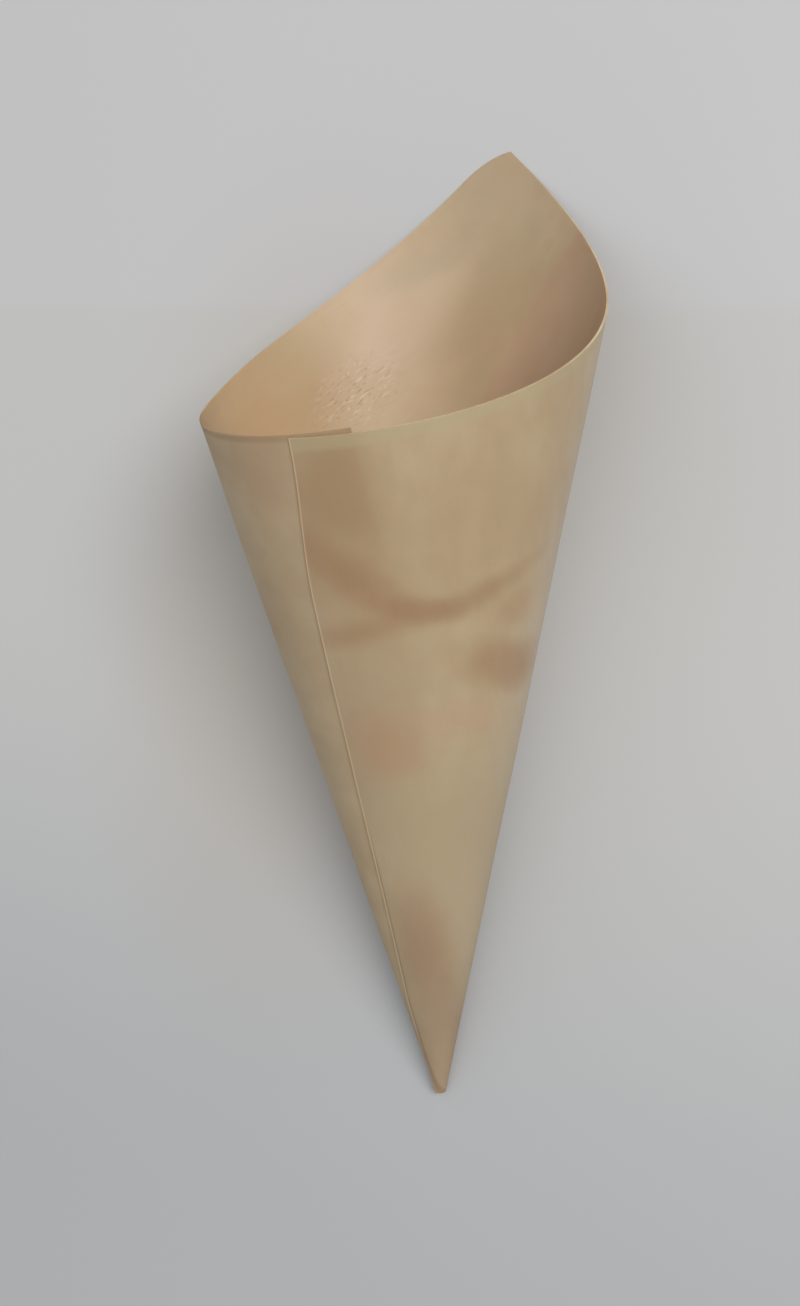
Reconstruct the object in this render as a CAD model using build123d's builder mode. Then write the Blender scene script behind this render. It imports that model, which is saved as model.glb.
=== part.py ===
from build123d import *
from math import asin, atan, ceil, cos, degrees, hypot, radians, sin, tan
import os

os.makedirs("parts", exist_ok=True)

# A serving cone rolled from one rectangular sheet of wood veneer. One corner of the sheet is wound
# into the tip, the opposite corner stands up as the peak, and the two sides that meet at the tip
# lap over each other. The cone lies on its long side: the wall under the peak touches the ground,
# the tip points to -Y, the mouth opens to +Y and the lap is on top.

# Driving dimensions, in millimetres and degrees
sheet_length = 141.0        # blank along the lapped side that lies outside
sheet_width = 130.4         # blank along the lapped side that is covered
veneer = 0.4                # thickness of the sheet
half_angle = 14.7           # between the axis and the wall
outer_past_apex = 1.9       # how far the outer lapped side runs past the apex of the cone
inner_past_apex = 12.9      # the same for the covered side
glue_line = 0.05            # between the two plies of the lap
tip_bore = 0.4              # pinhole that the roll leaves at the blunt tip
covered_turn = 330.0        # how far round from the peak the covered side is wound at the tip
flat_turn = 9.0             # how far the wall lies flat to each side of the contact line
sheet_step = 1.5            # largest angle on the flat sheet between two sections of the roll

# The flat blank in polar coordinates about the apex of the cone. Angles are taken from the line
# where the two rims would meet if the roll were even, positive towards the outer lapped side.
alpha = radians(half_angle)
outer_rim = sheet_length - inner_past_apex
inner_rim = sheet_width - outer_past_apex
outer_corner_reach = hypot(outer_rim, outer_past_apex)
inner_corner_reach = hypot(inner_rim, inner_past_apex)
outer_corner = 45 + degrees(asin(outer_past_apex / outer_corner_reach))
inner_corner = 45 + degrees(asin(inner_past_apex / inner_corner_reach))
flap_end = inner_past_apex / sin(radians(covered_turn * sin(alpha) - 45))
peak = 45 - degrees(atan(inner_rim / outer_rim))
flat_edge = flat_turn * sin(alpha)
tip_reach = tip_bore / 2 / sin(alpha)


def turn(sheet_angle):
    """Angle about the axis of the cone, in degrees, of a straight line on the sheet."""
    return sheet_angle / sin(alpha)


def rise(sheet_angle):
    """The roll winds outwards by one ply in each full turn, so the lapped sides lie face to face.

    The flat on the ground is left out of this, or it would be twisted.
    """
    on_flat = abs(sheet_angle - peak) < 1.01 * flat_edge
    wound = turn(peak if on_flat else sheet_angle) + covered_turn
    return (veneer + glue_line) * wound / 360


# Under the cone's own weight the wall lies flat along the contact line, which brings it closer to
# the axis. The axis climbs so that this flat lies on the ground.
flattening = cos(radians(flat_turn))
climb = atan(flattening * tan(alpha))
axis_up = Vector(0, cos(climb), sin(climb))
groundwards = Vector(0, sin(climb), -cos(climb))
sideways = Vector(1, 0, 0)
apex = Vector(0, 0, rise(peak) + veneer)


def blade_plane(sheet_angle):
    """Plane through the axis of the cone: local X points away from the axis, local Y along it."""
    angle = radians(turn(sheet_angle - peak))
    outwards = groundwards * cos(angle) + sideways * sin(angle)
    return Plane(origin=apex, x_dir=outwards, z_dir=outwards.cross(axis_up))


def on_wall(along, lift):
    """Point in a blade plane: along the wall from the apex, and lifted square to the wall."""
    return (along * sin(alpha) + lift * cos(alpha), along * cos(alpha) - lift * sin(alpha))


def blade(sheet_angle, reach):
    """Section of the veneer along one straight line of the cone, from the tip to the cut edge."""
    inside = rise(sheet_angle)
    outside = inside + veneer
    corners = [
        on_wall(tip_reach, inside),
        on_wall(reach, inside),
        on_wall(reach, outside),
        on_wall(tip_reach, outside),
    ]
    if sheet_angle == peak:
        corners = [(from_axis * flattening, along_axis) for from_axis, along_axis in corners]
    with BuildSketch(blade_plane(sheet_angle)) as section:
        with BuildLine():
            Polyline(*corners, close=True)
        make_face()
    return section.sketch


def even_angles(start, end):
    """Angles on the sheet from start to end, evenly spaced and no more than sheet_step apart."""
    count = ceil(abs(end - start) / sheet_step)
    return [start + (end - start) * step / count for step in range(count + 1)]


def half_sheet(corner, end_of_flat, rim_distance, square_to_rim):
    """Sections from a lapped corner to the flat and the peak, up to the rim at rim_distance."""
    sections = []
    for sheet_angle in even_angles(corner, end_of_flat) + [peak]:
        reach = rim_distance / cos(radians(sheet_angle - square_to_rim))
        sections.append(blade(sheet_angle, reach))
    return sections


def lapped_side(corner, past_apex, side):
    """Sections of the strip that runs past the apex, from its corner down to flap_end.

    The strip is on the outer side where side is 1 and on the covered side where it is -1.
    """
    flap_angle = 45 + degrees(asin(past_apex / flap_end))
    sections = []
    for sheet_angle in even_angles(corner, flap_angle):
        reach = past_apex / sin(radians(sheet_angle - 45))
        sections.append(blade(side * sheet_angle, reach))
    return sections


# The sheet is lofted in four stretches that meet at its peak and its two lapped corners.
with BuildPart() as veneer_cone:
    loft(sections=half_sheet(-inner_corner, peak - flat_edge, inner_rim, -45), ruled=True)
    loft(sections=half_sheet(outer_corner, peak + flat_edge, outer_rim, 45), ruled=True)
    loft(sections=lapped_side(inner_corner, inner_past_apex, -1), ruled=True)
    loft(sections=lapped_side(outer_corner, outer_past_apex, 1), ruled=True)

# The origin is on the ground, below the middle of the cone.
box = veneer_cone.part.bounding_box()
veneer_cone.part.move(Location((-box.center().X, -box.center().Y, -box.min.Z)))

veneer_cone.part.label = "veneer_cone"
export_step(veneer_cone.part, "parts/veneer_cone.step")
print("box", veneer_cone.part.bounding_box(), "volume", veneer_cone.part.volume)
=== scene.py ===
import math

import bpy
from mathutils import Matrix, Vector, noise


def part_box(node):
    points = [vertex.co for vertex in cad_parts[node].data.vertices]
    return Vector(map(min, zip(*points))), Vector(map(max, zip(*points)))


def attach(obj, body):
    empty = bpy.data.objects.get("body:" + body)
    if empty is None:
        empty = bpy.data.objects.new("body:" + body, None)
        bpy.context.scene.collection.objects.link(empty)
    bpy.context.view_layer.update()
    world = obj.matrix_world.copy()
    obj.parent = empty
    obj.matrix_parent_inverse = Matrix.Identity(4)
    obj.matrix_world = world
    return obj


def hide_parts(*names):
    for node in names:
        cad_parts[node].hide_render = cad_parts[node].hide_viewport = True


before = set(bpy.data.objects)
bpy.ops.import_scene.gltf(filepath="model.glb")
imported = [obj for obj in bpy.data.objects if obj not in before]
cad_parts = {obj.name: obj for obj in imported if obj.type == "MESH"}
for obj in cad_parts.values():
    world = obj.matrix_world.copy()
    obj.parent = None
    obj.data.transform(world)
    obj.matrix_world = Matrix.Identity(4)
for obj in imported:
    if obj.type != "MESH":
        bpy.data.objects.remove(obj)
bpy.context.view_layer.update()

low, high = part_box("veneer_cone")

# The flat blank, in metres and degrees. The grain runs along the outer lapped side.
blank = {
    "length": 0.141,
    "width": 0.1304,
    "thickness": 0.0004,
    "glueLine": 0.00005,
    "halfAngle": 14.7,
    "outerPast": 0.0019,      # how far each lapped side runs past the apex of the cone
    "innerPast": 0.0129,
    "coveredTurn": 330.0,     # how far round from the peak the covered side is wound at the tip
    "tipBore": 0.0004,
    "flatTurn": 9.0,          # the wall lies flat this far to each side of the ground line
    "roundTurn": 27.0,        # and is round again from here
    "flatSoftness": 0.004,    # how gently the one runs into the other
    "sharpAngle": 35.0,
    "columns": 260,
    "rows": 150,
}

# Where this cone differs from an even one
wear = {
    "peakCut": 0.0034,        # the left rim falls away towards the peak
    "peakCutWidth": 3.4,      # degrees of the sheet
    "seamSwell": 0.0009,      # the outer lapped side bows out, then leans in to its corner
    "seamSwellTo": 0.095,
    "seamTrim": 0.0022,
    "seamTrimFrom": 0.100,
    "pinch": 0.0015,          # the mouth is drawn in a little on the left
    "pinchTurn": -98.0,
    "pinchSpread": 24.0,
    "pinchFrom": 0.105,
    "waviness": 0.00012,
    "wavePitch": 0.022,
    "wavesFrom": 0.010,       # the tip is too stiff to wave
    "wavesFull": 0.060,
}

alpha = math.radians(blank["halfAngle"])
outerRim = blank["length"] - blank["innerPast"]
innerRim = blank["width"] - blank["outerPast"]
outerReach = math.hypot(outerRim, blank["outerPast"])
innerReach = math.hypot(innerRim, blank["innerPast"])
outerCorner = 45 + math.degrees(math.asin(blank["outerPast"] / outerReach))
innerCorner = 45 + math.degrees(math.asin(blank["innerPast"] / innerReach))
flapEnd = blank["innerPast"] / math.sin(math.radians(blank["coveredTurn"] * math.sin(alpha) - 45))
fullTurn = 360 * math.sin(alpha)
evenPeak = 45 - math.degrees(math.atan(innerRim / outerRim))
wornPeak = math.degrees(math.atan2(outerRim, innerRim - wear["peakCut"])) - 45
flattening = math.cos(math.radians(blank["flatTurn"]))
climb = math.atan(flattening * math.tan(alpha))
axisUp = Vector((0, math.cos(climb), math.sin(climb)))
groundwards = Vector((0, math.sin(climb), -math.cos(climb)))
sideways = Vector((1, 0, 0))


def smooth(value, start, stop):
    share = min(1.0, max(0.0, (value - start) / (stop - start)))
    return share * share * (3 - 2 * share)


def turnOf(sheetAngle):
    return (sheetAngle - evenPeak) / math.sin(alpha)


def riseOf(sheetAngle):
    turned = sheetAngle / math.sin(alpha) + blank["coveredTurn"]
    return (blank["thickness"] + blank["glueLine"]) * turned / 360


def wallPoint(sheetAngle, reach):
    # outer face of the rolled sheet, from the apex
    turned = turnOf(sheetAngle)
    lift = riseOf(sheetAngle) + blank["thickness"]
    fromAxis = reach * math.sin(alpha) + lift * math.cos(alpha)
    alongAxis = reach * math.cos(alpha) - lift * math.sin(alpha)
    across = math.radians(turned)
    if abs(turned) < blank["roundTurn"]:
        # the flat runs into the round wall without a kink
        pressed = (1 - flattening / math.cos(across)) / blank["flatSoftness"]
        fromAxis *= 1 - blank["flatSoftness"] * math.log(1 + math.exp(pressed))
    outwards = groundwards * math.cos(across) + sideways * math.sin(across)
    return axisUp * alongAxis + outwards * fromAxis, outwards


peakReach = math.hypot(innerRim, outerRim)
apex = Vector((0, high.y - wallPoint(evenPeak, peakReach)[0].y, low.z - wallPoint(evenPeak, peakReach)[0].z))


def seamAt(reach):
    # angle of the outer lapped side, which bows a little
    held = min(max(reach, flapEnd), outerReach)
    past = blank["outerPast"] + wear["seamSwell"] * smooth(held, flapEnd, wear["seamSwellTo"])
    past -= wear["seamTrim"] * smooth(held, wear["seamTrimFrom"], outerReach)
    return 45 + math.degrees(math.asin(past / held))


def sheetPlace(across, along):
    # across runs 0 to 1 from the covered side to the seam, with the peak at one half, and along
    # runs 0 to 1 from the tip to the rim
    if across < 0.5:
        rimAngle = -innerCorner + (wornPeak + innerCorner) * across * 2
        near = max(0.0, 1 - (wornPeak - rimAngle) / wear["peakCutWidth"])
        rim = (innerRim - wear["peakCut"] * near * near) / math.cos(math.radians(rimAngle + 45))
    else:
        rimAngle = wornPeak + (outerCorner - wornPeak) * (across - 0.5) * 2
        rim = outerRim / math.cos(math.radians(rimAngle - 45))
    start = blank["tipBore"] / 2 / math.sin(alpha)
    reach = start + (rim - start) * along
    # the lapped sides are cuts that pass the apex
    if across < 0.5:
        held = min(max(reach, flapEnd), innerReach)
        edge = -45 - math.degrees(math.asin(blank["innerPast"] / held))
        share = (edge - wornPeak) / (-innerCorner - wornPeak)
    else:
        share = (seamAt(reach) - wornPeak) / (outerCorner - wornPeak)
    return wornPeak + (rimAngle - wornPeak) * share, reach


def makeCone():
    bpy.ops.object.select_all(action="DESELECT")
    bpy.ops.mesh.primitive_grid_add(x_subdivisions=blank["columns"], y_subdivisions=blank["rows"], size=1)
    cone = bpy.context.object
    cone.name = "rolledVeneer"
    mesh = cone.data
    sheetPlaces = []
    seamPlaces = []
    for vertex in mesh.vertices:
        sheetAngle, reach = sheetPlace(vertex.co.x + 0.5, vertex.co.y + 0.5)
        place, outwards = wallPoint(sheetAngle, reach)
        offGround = smooth(abs(turnOf(sheetAngle)), blank["flatTurn"], blank["roundTurn"])
        strength = offGround * smooth(reach, wear["wavesFrom"], wear["wavesFull"])
        push = wear["waviness"] * strength * noise.noise(place / wear["wavePitch"])
        offPinch = ((turnOf(sheetAngle) + 180) % 360 - 180 - wear["pinchTurn"]) / wear["pinchSpread"]
        push -= wear["pinch"] * math.exp(-offPinch * offPinch) * smooth(reach, wear["pinchFrom"], innerRim)
        vertex.co = apex + place + outwards * push
        fromSeam = reach * math.cos(math.radians(sheetAngle + 45)) + blank["outerPast"]
        fromCovered = reach * math.cos(math.radians(sheetAngle - 45)) + blank["innerPast"]
        sheetPlaces.append((fromSeam / blank["length"], fromCovered / blank["length"]))
        seamPlaces.append((reach * math.sin(math.radians(min(90, seamAt(reach) - sheetAngle))), 0.0))
    # one map holds the place on the blank, the other the distance from the bowed seam
    mesh.uv_layers[0].name = "blank"
    mesh.uv_layers.new(name="seam")
    for name, places in (("blank", sheetPlaces), ("seam", seamPlaces)):
        for loop in mesh.loops:
            mesh.uv_layers[name].data[loop.index].uv = places[loop.vertex_index]
    return cone


def finishCone(cone, faces):
    for face in faces:
        cone.data.materials.append(face)
    # the grid faces inwards once it is rolled
    bpy.ops.object.mode_set(mode="EDIT")
    bpy.ops.mesh.select_all(action="SELECT")
    bpy.ops.mesh.flip_normals()
    bpy.ops.object.mode_set(mode="OBJECT")
    wall = cone.modifiers.new("wall", "SOLIDIFY")
    wall.thickness = blank["thickness"]
    wall.offset = -1
    wall.use_quality_normals = True
    wall.material_offset = 1
    wall.material_offset_rim = 2
    bpy.ops.object.modifier_apply(modifier="wall")
    bpy.ops.object.shade_smooth_by_angle(angle=math.radians(blank["sharpAngle"]))


class Maths:
    # wraps a socket that carries a number, so that sums read as sums

    def __init__(self, nodes, socket):
        self.nodes = nodes
        self.socket = socket

    def join(self, operation, other=None, flip=False):
        pair = [self.socket] if other is None else [self.socket, getattr(other, "socket", other)]
        if flip:
            pair.reverse()
        return self.nodes.number("ShaderNodeMath", {"operation": operation}, pair)

    def __add__(self, other):
        return self.join("ADD", other)

    __radd__ = __add__

    def __sub__(self, other):
        return self.join("SUBTRACT", other)

    def __rsub__(self, other):
        return self.join("SUBTRACT", other, True)

    def __mul__(self, other):
        return self.join("MULTIPLY", other)

    __rmul__ = __mul__

    def __truediv__(self, other):
        return self.join("DIVIDE", other)

    def root(self):
        return self.join("SQRT")

    def size(self):
        return self.join("ABSOLUTE")

    def fade(self, start, stop, low=0.0, high=1.0):
        settings = {"interpolation_type": "SMOOTHSTEP"}
        return self.nodes.number("ShaderNodeMapRange", settings, [self.socket, start, stop, low, high])


class Nodes:
    def __init__(self, name):
        self.material = bpy.data.materials.new(name)
        self.material.use_nodes = True
        self.tree = self.material.node_tree
        self.tree.nodes.clear()

    def add(self, kind, settings=None, values=None):
        node = self.tree.nodes.new(kind)
        for key, value in (settings or {}).items():
            setattr(node, key, value)
        pairs = values.items() if isinstance(values, dict) else enumerate(values or [])
        for key, value in pairs:
            socket = node.inputs[key]
            source = getattr(value, "socket", value)
            if isinstance(source, bpy.types.NodeSocket):
                self.tree.links.new(source, socket)
            else:
                socket.default_value = source
        return node

    def number(self, kind, settings=None, values=None):
        return Maths(self, self.add(kind, settings, values).outputs[0])

    def blend(self, share, first, second, how="MIX"):
        settings = {"data_type": "RGBA", "blend_type": how, "clamp_factor": True}
        return self.add("ShaderNodeMix", settings, {0: share, 6: first, 7: second}).outputs[2]


def paint(red, green, blue):
    # colour as seen on a screen, 0 to 255
    def straight(value):
        value /= 255
        return value / 12.92 if value <= 0.04045 else ((value + 0.055) / 1.055) ** 2.4
    return (straight(red), straight(green), straight(blue), 1.0)


# Places on the blank are in millimetres from the apex of the cone: the first runs towards the left
# rim, the second with the grain towards the right rim. A stain has half lengths along and across
# its direction, which leans by some degrees or not at all, and a softness as a share of them.
outerLook = {
    "ground": paint(168, 148, 118),
    "lighter": paint(176, 158, 128),
    "darker": paint(158, 136, 106),
    "roughness": 0.6,
    "stains": [
        {"at": (46, 84), "half": (10, 80), "lean": -28, "soft": 0.9,
         "tint": paint(176, 164, 148), "share": 0.75},
        {"at": (8, 48), "half": (22, 34), "soft": 0.8, "tint": paint(158, 143, 115), "share": 0.6},
        {"at": (6, 119), "half": (6.5, 7), "soft": 0.6, "tint": paint(142, 110, 76), "share": 0.4},
        {"at": (4.5, 104.5), "half": (9, 3.2), "lean": -45, "soft": 0.8,
         "tint": paint(140, 104, 72), "share": 0.6},
        {"at": (14.5, 97), "half": (7, 1.9), "lean": -18, "soft": 0.8,
         "tint": paint(140, 106, 74), "share": 0.55},
        {"at": (26, 96.6), "half": (9, 1.8), "lean": 6, "soft": 0.9,
         "tint": paint(142, 110, 80), "share": 0.55},
        {"at": (30.5, 91.5), "half": (5, 3), "lean": -20, "soft": 0.9,
         "tint": paint(146, 114, 84), "share": 0.4},
        {"at": (5, 94.5), "half": (8, 2.0), "lean": 9, "soft": 0.9,
         "tint": paint(142, 108, 76), "share": 0.5},
        {"at": (27.5, 81.5), "half": (9.5, 4.2), "lean": -33, "soft": 0.7,
         "tint": paint(142, 108, 78), "share": 0.6},
        {"at": (4.5, 73.5), "half": (6, 6), "soft": 0.8, "tint": paint(160, 124, 96), "share": 0.5},
        {"at": (18, 75), "half": (7, 3.5), "lean": -15, "soft": 0.9,
         "tint": paint(168, 138, 112), "share": 0.45},
        {"at": (3.5, 34), "half": (4, 9), "soft": 0.8, "tint": paint(146, 114, 86), "share": 0.5},
        {"at": (3, 24), "half": (5, 14), "soft": 0.9, "tint": paint(128, 106, 82), "share": 0.5},
        {"at": (2, 6), "half": (14, 12), "soft": 0.9, "tint": paint(140, 118, 94), "share": 0.6},
        {"at": (121, 6), "half": (8, 5), "soft": 0.9, "tint": paint(162, 132, 104), "share": 0.5},
    ],
}

innerLook = {
    "ground": paint(180, 157, 125),
    "lighter": paint(190, 168, 138),
    "darker": paint(170, 146, 114),
    "roughness": 0.5,
    "stains": [
        {"at": (117, 90), "half": (11, 16), "soft": 0.7, "tint": paint(192, 169, 145), "share": 0.7},
        {"at": (122, 118), "half": (12, 13), "soft": 0.7, "tint": paint(172, 154, 128), "share": 0.6},
        {"at": (103, 100), "half": (8, 15), "lean": -15, "soft": 0.6,
         "tint": paint(164, 138, 104), "share": 0.5},
        {"at": (96, 76), "half": (9, 12), "soft": 0.9, "tint": paint(190, 164, 132), "share": 0.6},
        {"at": (78, 110), "half": (20, 36), "lean": -13, "soft": 0.06,
         "tint": paint(178, 145, 117), "share": 0.6},
        {"at": (122, 100), "half": (3, 8), "lean": 20, "soft": 0.9,
         "tint": paint(168, 154, 128), "share": 0.5},
        {"at": (108, 114), "half": (5, 9), "lean": -20, "soft": 0.9,
         "tint": paint(164, 146, 116), "share": 0.5},
        {"at": (116, 58), "half": (10, 14), "soft": 0.9, "tint": paint(174, 142, 104), "share": 0.5},
        {"at": (124, 70), "half": (5, 10), "soft": 0.9, "tint": paint(178, 158, 124), "share": 0.5},
        {"at": (116, 48), "half": (14, 12), "soft": 0.9, "tint": paint(196, 166, 128), "share": 0.6},
    ],
}

cutLook = {
    "ground": paint(190, 170, 136),
    "lighter": paint(206, 188, 156),
    "darker": paint(160, 136, 104),
    "roughness": 0.75,
    "stains": [
        {"at": (128, 10), "half": (20, 24), "soft": 0.15, "tint": paint(134, 104, 72), "share": 0.7},
    ],
}

# Patterns: pitch across and along the grain in millimetres, and how strongly each one shows
grain = {
    "broad": {"pitch": (17, 30), "detail": 2, "seed": 3.1},
    "patches": {"pitch": (7, 16), "detail": 3, "seed": 8.7, "relief": 0.8},
    "blotches": {"pitch": (3.5, 5), "detail": 4, "seed": 15.7, "share": 0.3},
    "fibres": {"pitch": (0.55, 16), "detail": 3, "seed": 1.9, "share": 0.09, "relief": 0.5, "fine": 0.6},
    "pores": {"pitch": (0.3, 4.5), "detail": 2, "seed": 5.3, "share": 0.12, "relief": 0.3},
    "ragged": {"pitch": (5, 9), "detail": 3, "seed": 12.4},
    "dashes": {"pitch": (0.5, 1.9), "detail": 1, "seed": 21.4, "share": 0.4, "relief": 1.5},
    "gaps": {"pitch": (0.4, 1.7), "detail": 1, "seed": 33.8, "share": 0.4},
}

# What the two plies of the lap, the rims and the torn grain inside do to the look. Lengths are in
# millimetres, and a pair gives where a mark starts and ends.
marks = {
    # painted shade: the lap, two plies thick, is browner where less light comes through from inside
    "lapShadeTint": paint(150, 120, 88), "lapShadeShare": 0.4, "lapEdge": (-1.0, 2.2), "lapRagged": 3,
    "lapShadeFull": (85, 108), "lapShadeFaded": 0.1,     # the brown painted shade of the lap is strong near the mouth only, where light comes through from inside
    # the seam edge: pale fibres with a painted highlight where the edge catches the light
    "seamFibresAndHighlightTint": paint(208, 178, 142), "seamFibresAndHighlightShare": 0.5, "seamWidth": 0.26, "seamFibresAndHighlightFrom": (9, 20),
    # painted shade: a dark line just beside the seam edge, toward the tip
    "seamShade": paint(112, 88, 64), "seamShadeShare": 0.45, "seamShadeEdge": (0.1, 0.35),
    "seamShadeTo": (45, 62),
    # a paler band along the right rim
    "rimTint": paint(166, 154, 122), "rimShare": 0.5, "rimWidth": 2.2, "rimEdge": 0.6,
    # a browner band along the left rim, near the lapped corner
    "leftRimBrownTint": paint(140, 108, 76), "leftRimBrownShare": 0.45, "leftRimBrownWidth": 1.0,
    "leftRimBrownEdge": 0.4, "leftRimBrownTo": (22, 32),
    "tornAt": (111, 75), "tornHalf": (5, 8), "tornSoft": 0.8,
    # the torn grain inside: pale fibres with painted glints, and painted shade in the gaps between them
    "tornFibresAndGlintTint": paint(214, 192, 164), "tornGapShadeTint": paint(130, 100, 72),
}
surface = {"specular": 0.35, "roughnessSpread": 0.06, "bump": 0.25, "bumpDepth": 0.00012, "stainRagged": 0.9}
# Light that spreads within the thin sheet; none is let through it
through = {"share": 0.35, "radius": (1.0, 0.62, 0.36), "scale": 0.0008}


def veneerMaterial(name, look, outside=False, inside=False):
    nodes = Nodes(name)
    unwrapped = nodes.add("ShaderNodeUVMap", {"uv_map": "blank"}).outputs[0]
    parts = nodes.add("ShaderNodeSeparateXYZ", None, [unwrapped])
    across = Maths(nodes, parts.outputs[0]) * (blank["length"] * 1000) - blank["outerPast"] * 1000
    along = Maths(nodes, parts.outputs[1]) * (blank["length"] * 1000) - blank["innerPast"] * 1000

    def cloud(pattern):
        made = grain[pattern]
        where = nodes.add("ShaderNodeCombineXYZ", None,
                          [across / made["pitch"][0], along / made["pitch"][1], made["seed"]])
        values = {"Vector": where.outputs[0], "Scale": 1.0, "Detail": made["detail"],
                  "Roughness": made.get("fine", 0.5)}
        return nodes.number("ShaderNodeTexNoise", {"noise_dimensions": "3D"}, values)

    def spot(stain):
        lean = math.radians(stain.get("lean", 0))
        offAcross = across - stain["at"][0]
        offAlong = along - stain["at"][1]
        first = (offAcross * math.cos(lean) + offAlong * math.sin(lean)) / stain["half"][0]
        second = (offAlong * math.cos(lean) - offAcross * math.sin(lean)) / stain["half"][1]
        distance = (first * first + second * second).root()
        distance = distance + (ragged - 0.5) * (surface["stainRagged"] * stain["soft"])
        return distance.fade(1 - stain["soft"], 1 + stain["soft"], stain["share"], 0.0)

    broad = cloud("broad")
    patches = cloud("patches")
    fibres = cloud("fibres")
    pores = cloud("pores")
    ragged = cloud("ragged")
    blotches = cloud("blotches")

    colour = nodes.blend(broad.fade(0.3, 0.7), look["darker"], look["lighter"])
    colour = nodes.blend(patches.fade(0.3, 0.7, 0.7, 0.3), colour, look["ground"])
    colour = nodes.blend(blotches.fade(0.4, 0.7, 0.0, grain["blotches"]["share"]), colour, look["darker"])
    for stain in look["stains"]:
        colour = nodes.blend(spot(stain), colour, stain["tint"])
    relief = fibres * grain["fibres"]["relief"] + pores * grain["pores"]["relief"]
    relief = relief + patches * grain["patches"]["relief"]

    if outside:
        # painted shade: the lap is browner where the covered ply behind lets less light through from inside;
        # the right rim is paler and the left rim browner
        fold = math.radians(fullTurn - 90)
        fromCovered = across * math.cos(fold) + along * math.sin(fold)
        fromCovered = fromCovered - blank["innerPast"] * 1000 + (ragged - 0.5) * marks["lapRagged"]
        # painted shade over the lap
        lapped = fromCovered.fade(*marks["lapEdge"], 1, 0)
        nearMouth = along.fade(*marks["lapShadeFull"], marks["lapShadeFaded"], 1.0)
        colour = nodes.blend(lapped * nearMouth * marks["lapShadeShare"], colour, marks["lapShadeTint"])
        # a paler band along the right rim
        fromRightRim = outerRim * 1000 - along
        start, stop = marks["rimWidth"] - marks["rimEdge"], marks["rimWidth"] + marks["rimEdge"]
        colour = nodes.blend(fromRightRim.fade(start, stop, marks["rimShare"], 0), colour, marks["rimTint"])
        # a browner band along the left rim, near the lapped corner
        fromLeftRim = innerRim * 1000 - across
        start = marks["leftRimBrownWidth"] - marks["leftRimBrownEdge"]
        stop = marks["leftRimBrownWidth"] + marks["leftRimBrownEdge"]
        nearLeftRim = fromLeftRim.fade(start, stop, 1, 0)
        lasting = along.fade(*marks["leftRimBrownTo"], marks["leftRimBrownShare"], 0)
        colour = nodes.blend(nearLeftRim * lasting, colour, marks["leftRimBrownTint"])
        seamMap = nodes.add("ShaderNodeUVMap", {"uv_map": "seam"}).outputs[0]
        fromSeam = Maths(nodes, nodes.add("ShaderNodeSeparateXYZ", None, [seamMap]).outputs[0]) * 1000
        # painted shade: a dark line just beside the seam edge, toward the tip
        offLine = (fromSeam - 1.5 * marks["seamWidth"]).size()
        shade = offLine.fade(*marks["seamShadeEdge"], marks["seamShadeShare"], 0)
        colour = nodes.blend(shade * along.fade(*marks["seamShadeTo"], 1, 0), colour, marks["seamShade"])
        # pale fibres along the seam edge, with a painted highlight where the edge catches the light
        lit = fromSeam.fade(marks["seamWidth"] * 0.6, marks["seamWidth"] * 1.4, marks["seamFibresAndHighlightShare"], 0)
        colour = nodes.blend(lit * along.fade(*marks["seamFibresAndHighlightFrom"]), colour, marks["seamFibresAndHighlightTint"])
    if inside:
        torn = spot({"at": marks["tornAt"], "half": marks["tornHalf"], "soft": marks["tornSoft"],
                     "share": 1.0})
        # pale torn fibres with painted glints, and painted shade in the gaps between them
        dashes = cloud("dashes").fade(0.58, 0.68) * torn
        gaps = cloud("gaps").fade(0.6, 0.7) * torn
        colour = nodes.blend(dashes * grain["dashes"]["share"], colour, marks["tornFibresAndGlintTint"])
        colour = nodes.blend(gaps * grain["gaps"]["share"], colour, marks["tornGapShadeTint"])
        relief = relief + dashes * grain["dashes"]["relief"] - gaps

    colour = nodes.blend(fibres.fade(0.35, 0.75, 0.0, grain["fibres"]["share"]), colour, look["darker"])
    colour = nodes.blend(pores.fade(0.62, 0.8, 0.0, grain["pores"]["share"]), colour, look["darker"])

    values = {"Strength": surface["bump"], "Distance": surface["bumpDepth"], "Height": relief}
    bump = nodes.add("ShaderNodeBump", None, values)
    smoother = look["roughness"] - surface["roughnessSpread"]
    rougher = look["roughness"] + surface["roughnessSpread"]
    values = {
        "Base Color": colour,
        "Roughness": patches.fade(0.3, 0.7, smoother, rougher),
        "Normal": bump.outputs[0],
        "Specular IOR Level": surface["specular"],
        "Subsurface Weight": through["share"],
        "Subsurface Radius": through["radius"],
        "Subsurface Scale": through["scale"],
    }
    shader = nodes.add("ShaderNodeBsdfPrincipled", None, values)
    nodes.add("ShaderNodeOutputMaterial", None, [shader.outputs[0]])
    return nodes.material


cone = makeCone()
finishCone(cone, [
    veneerMaterial("veneerOutside", outerLook, outside=True),
    veneerMaterial("veneerInside", innerLook, inside=True),
    veneerMaterial("veneerCutEdge", cutLook),
])
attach(cone, "root")
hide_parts("veneer_cone")
print("cone rolled,", len(cone.data.polygons), "faces")

# Floor
table = {
    "size": 6.0, "roughness": 0.9, "specular": 0.2,
    "near": paint(170, 172, 174), "far": paint(190, 190, 189), "wall": paint(192, 192, 193),
    "turned": 4.7,            # degrees by which the line behind the cone is turned from X
    "foldFrom": 0.0560, "foldTo": 0.0600,
    "nearFrom": -0.130, "farFrom": 0.010,
    "warmed": (0.965, 0.915, 0.86, 1.0), "warmedAt": (-0.045, 0.0), "warmedHalf": (0.045, 0.085),
    "warmedEdge": (0.2, 1.3),
}


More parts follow.
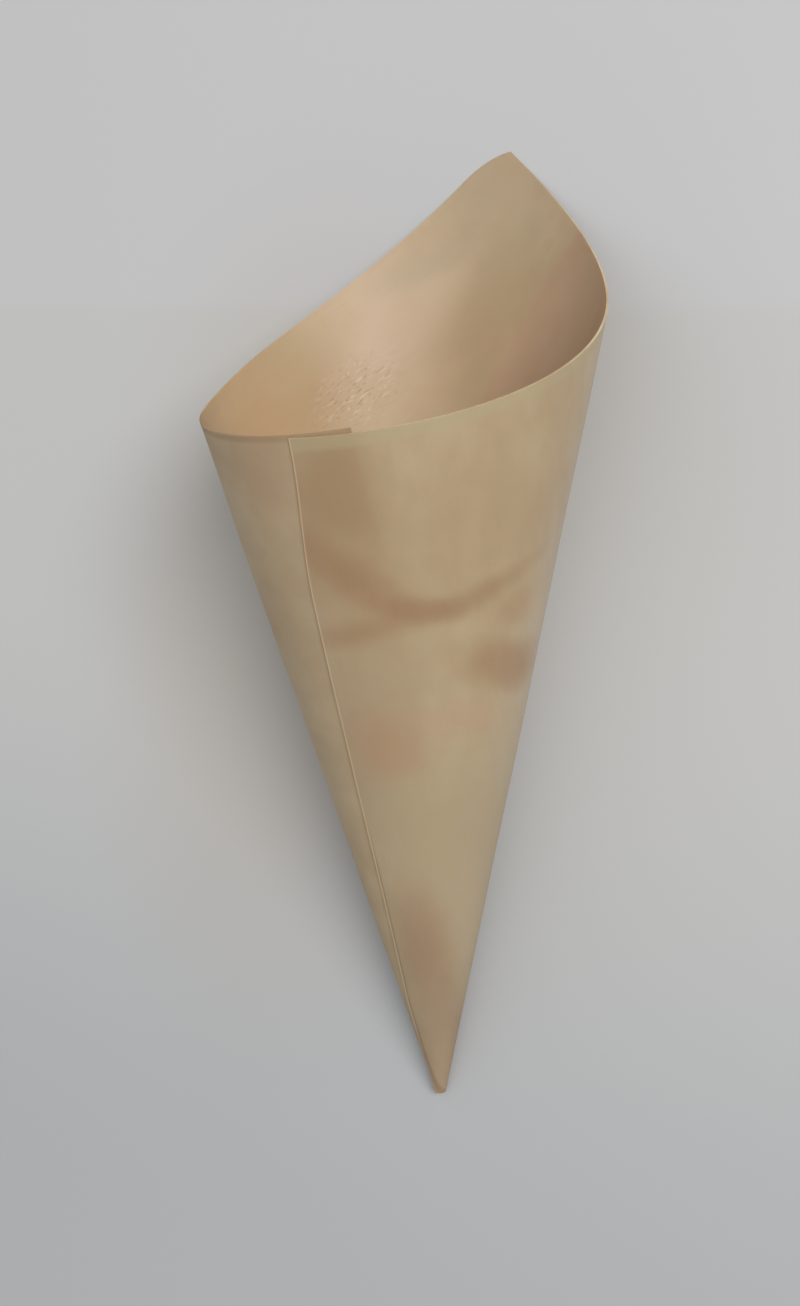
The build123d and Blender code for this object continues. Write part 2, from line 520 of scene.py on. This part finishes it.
def makeTable():
    bpy.ops.object.select_all(action="DESELECT")
    bpy.ops.mesh.primitive_plane_add(size=table["size"], location=(0, 0, low.z))
    floor = bpy.context.object
    floor.name = "table"
    nodes = Nodes("tabletop")
    place = nodes.add("ShaderNodeTexCoord").outputs["Object"]
    parts = nodes.add("ShaderNodeSeparateXYZ", None, [place])
    turned = math.radians(table["turned"])
    rightwards = Maths(nodes, parts.outputs[0])
    backwards = Maths(nodes, parts.outputs[1])
    back = rightwards * math.sin(turned) + backwards * math.cos(turned)
    colour = nodes.blend(back.fade(table["nearFrom"], table["farFrom"]), table["near"], table["far"])
    colour = nodes.blend(back.fade(table["foldFrom"], table["foldTo"]), colour, table["wall"])
    # the floor's own colour is warmer beside the cone, in place of light let through the sheet
    aside = (rightwards - table["warmedAt"][0]) / table["warmedHalf"][0]
    ahead = (backwards - table["warmedAt"][1]) / table["warmedHalf"][1]
    warmth = (aside * aside + ahead * ahead).root().fade(*table["warmedEdge"], 1.0, 0.0)
    colour = nodes.blend(warmth, colour, table["warmed"], "MULTIPLY")
    values = {"Base Color": colour, "Roughness": table["roughness"],
              "Specular IOR Level": table["specular"]}
    shader = nodes.add("ShaderNodeBsdfPrincipled", None, values)
    nodes.add("ShaderNodeOutputMaterial", None, [shader.outputs[0]])
    floor.data.materials.append(nodes.material)


makeTable()
print("table laid")

# Lights: a broad soft one from the photograph's upper right, and an even sky
lamps = [
    {"name": "window", "place": (1.6, 0.24, 1.65), "size": 1.2, "power": 39.0, "tint": (1.0, 0.99, 0.975)},
]
sky = {"tint": (0.985, 0.99, 1.0, 1.0), "strength": 0.57}


def makeLights():
    for lamp in lamps:
        data = bpy.data.lights.new(lamp["name"], "AREA")
        data.shape = "DISK"
        data.size = lamp["size"]
        data.energy = lamp["power"]
        data.color = lamp["tint"]
        light = bpy.data.objects.new(lamp["name"], data)
        light.location = lamp["place"]
        light.rotation_mode = "QUATERNION"
        light.rotation_quaternion = (-light.location).to_track_quat("-Z", "Y")
        bpy.context.collection.objects.link(light)
    world = bpy.data.worlds.new("sky")
    world.use_nodes = True
    world.node_tree.nodes["Background"].inputs[0].default_value = sky["tint"]
    world.node_tree.nodes["Background"].inputs[1].default_value = sky["strength"]
    bpy.context.scene.world = world


makeLights()
print("lights set")

# The camera looks down from the right of the cone, with the tip towards the bottom of the picture
view = {
    "azimuth": -84.05, "elevation": 58.3904, "roll": -81.281,
    "aside": 0.013691, "above": 0.0082363, "distance": 0.3224997,
    "lensPixels": 1700, "pictureHeight": 1306, "sensor": 24.0, "nearest": 0.01,
}


def makeCamera():
    azimuth, elevation, roll = (math.radians(view[key]) for key in ("azimuth", "elevation", "roll"))
    forward = Vector((math.sin(azimuth) * math.cos(elevation), math.cos(azimuth) * math.cos(elevation),
                      -math.sin(elevation)))
    right = forward.cross(Vector((0, 0, 1))).normalized()
    up = right.cross(forward)
    pictureRight = right * math.cos(roll) + up * math.sin(roll)
    pictureUp = up * math.cos(roll) - right * math.sin(roll)
    data = bpy.data.cameras.new("camera")
    data.sensor_fit = "VERTICAL"
    data.sensor_height = view["sensor"]
    data.lens = view["sensor"] * view["lensPixels"] / view["pictureHeight"]
    data.clip_start = view["nearest"]
    camera = bpy.data.objects.new("camera", data)
    turned = Matrix((pictureRight, pictureUp, -forward)).transposed().to_4x4()
    place = -(pictureRight * view["aside"] + pictureUp * view["above"] + forward * view["distance"])
    camera.matrix_world = Matrix.Translation(place) @ turned
    bpy.context.collection.objects.link(camera)
    bpy.context.scene.camera = camera


makeCamera()
bpy.context.scene.view_settings.view_transform = "Standard"
print("camera placed")
